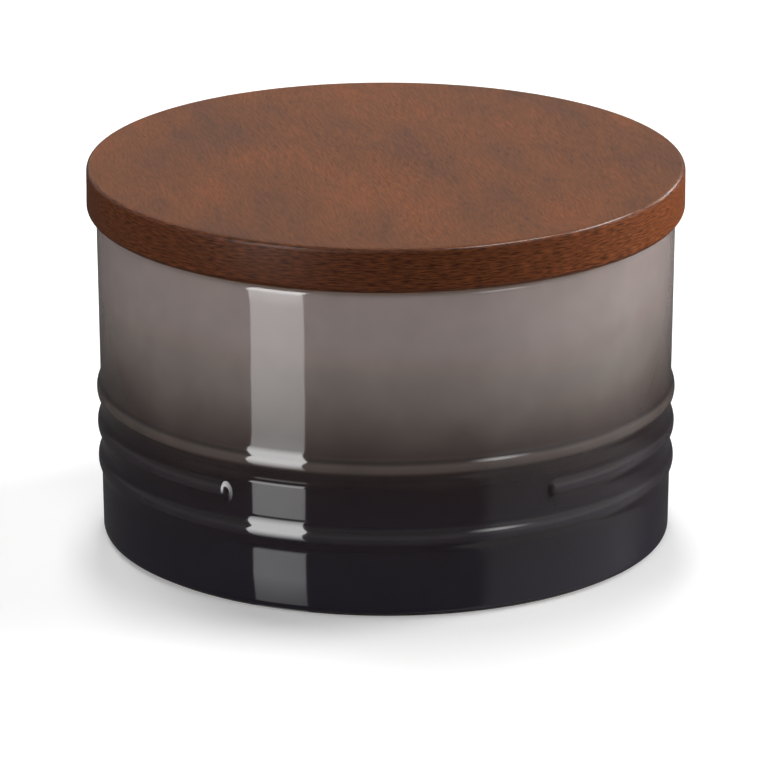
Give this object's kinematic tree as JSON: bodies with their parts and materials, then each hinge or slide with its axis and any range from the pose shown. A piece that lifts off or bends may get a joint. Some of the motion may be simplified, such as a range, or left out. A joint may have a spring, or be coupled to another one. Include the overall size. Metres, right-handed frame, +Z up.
{
  "type": "storage jar",
  "caption": "Squat round glazed stoneware jar with raised rings, closed by a flat overhanging wooden lid whose plug carries a soft seal.",
  "frame": {"origin": "centre of the foot ring, on the ground", "axes": "+Z up along the jar's axis; -Y is the front, where the middle ring is broken"},
  "size_m": [0.12, 0.12, 0.0769],
  "materials": {
    "glazed_stoneware": "glossy glaze, warm grey at the rim running to black at the base; bare foot ring",
    "oiled_wood": "oiled reddish-brown hardwood with open pores",
    "silicone": "matt translucent silicone"
  },
  "bodies": {
    "jar": {"jar_body": "glazed_stoneware"},
    "seal": {"lid_seal": "silicone"},
    "lid": {"lid_board": "oiled_wood", "lid_plug": "oiled_wood"}
  },
  "joints": [
    {"name": "lid_lift", "type": "slide", "parent": "jar", "child": "seal", "axis": [0, 0, 1], "range_m": [0, 0.06]},
    {"name": "lid_turn", "type": "hinge", "parent": "seal", "child": "lid", "pos_m": [0, 0, 0.0676], "axis": [0, 0, 1], "continuous": true}
  ]
}
